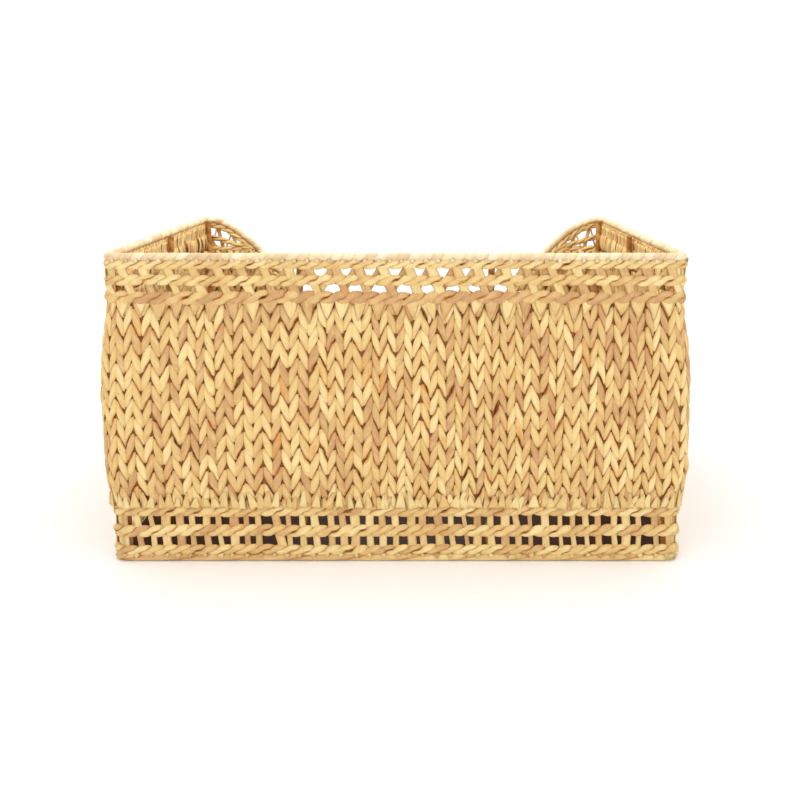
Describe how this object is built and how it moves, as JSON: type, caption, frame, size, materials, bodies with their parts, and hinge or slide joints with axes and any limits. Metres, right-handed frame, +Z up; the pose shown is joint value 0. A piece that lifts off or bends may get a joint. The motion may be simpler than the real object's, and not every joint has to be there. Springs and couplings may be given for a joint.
{
  "type": "bread basket",
  "caption": "Rectangular woven basket of dried water hyacinth on a wire frame, with openwork bands, a dark floor board and one long wall scooped down to half height.",
  "frame": {"origin": "centre of the footprint, on the surface the basket stands on", "axes": "+Z up; +X along the long walls; +Y towards the scooped long wall, so the straight long wall is at -Y"},
  "size_m": [0.4, 0.3, 0.22],
  "materials": {
    "woven_leaf": "dry matte plant fibre with a slight sheen",
    "pale_winding": "dry matte plant fibre with a slight sheen",
    "brown_winding": "dry matte plant fibre",
    "iron_wire": "black painted iron wire",
    "dark_board": "dark stain, satin"
  },
  "bodies": {
    "root": {"base_board": "dark_board", "base_cross_rod_left": "iron_wire", "base_cross_rod_right": "iron_wire", "base_long_rod_left": "iron_wire", "base_long_rod_middle": "iron_wire", "base_long_rod_right": "iron_wire", "base_rod": "iron_wire", "base_wrap_left": "pale_winding", "base_wrap_right": "pale_winding", "base_wrap_scooped": "pale_winding", "base_wrap_straight": "pale_winding", "bottom_band_left": "woven_leaf", "bottom_band_right": "woven_leaf", "bottom_band_scooped": "woven_leaf", "bottom_band_straight": "woven_leaf", "corner_post_scooped_left": "iron_wire", "corner_post_scooped_right": "iron_wire", "corner_post_straight_left": "iron_wire", "corner_post_straight_right": "iron_wire", "corner_turn_scooped_left": "woven_leaf", "corner_turn_scooped_right": "woven_leaf", "corner_turn_straight_left": "woven_leaf", "corner_turn_straight_right": "woven_leaf", "post_wrap_scooped_left": "brown_winding", "post_wrap_scooped_right": "brown_winding", "post_wrap_straight_left": "brown_winding", "post_wrap_straight_right": "brown_winding", "rim_rod": "iron_wire", "rim_wrap_left": "pale_winding", "rim_wrap_right": "pale_winding", "rim_wrap_scooped": "pale_winding", "rim_wrap_straight": "pale_winding", "scoop_border_row": "woven_leaf", "top_band_left": "woven_leaf", "top_band_right": "woven_leaf", "top_band_scooped_left": "woven_leaf", "top_band_scooped_right": "woven_leaf", "top_band_straight": "woven_leaf", "upright_left": "iron_wire", "upright_right": "iron_wire", "upright_scooped_left": "iron_wire", "upright_scooped_right": "iron_wire", "upright_straight_left": "iron_wire", "upright_straight_right": "iron_wire", "upright_wrap_left": "brown_winding", "upright_wrap_right": "brown_winding", "upright_wrap_scooped_left": "brown_winding", "upright_wrap_scooped_right": "brown_winding", "upright_wrap_straight_left": "brown_winding", "upright_wrap_straight_right": "brown_winding", "woven_panel_left": "woven_leaf", "woven_panel_right": "woven_leaf", "woven_panel_scooped": "woven_leaf", "woven_panel_straight": "woven_leaf"}
  },
  "joints": []
}
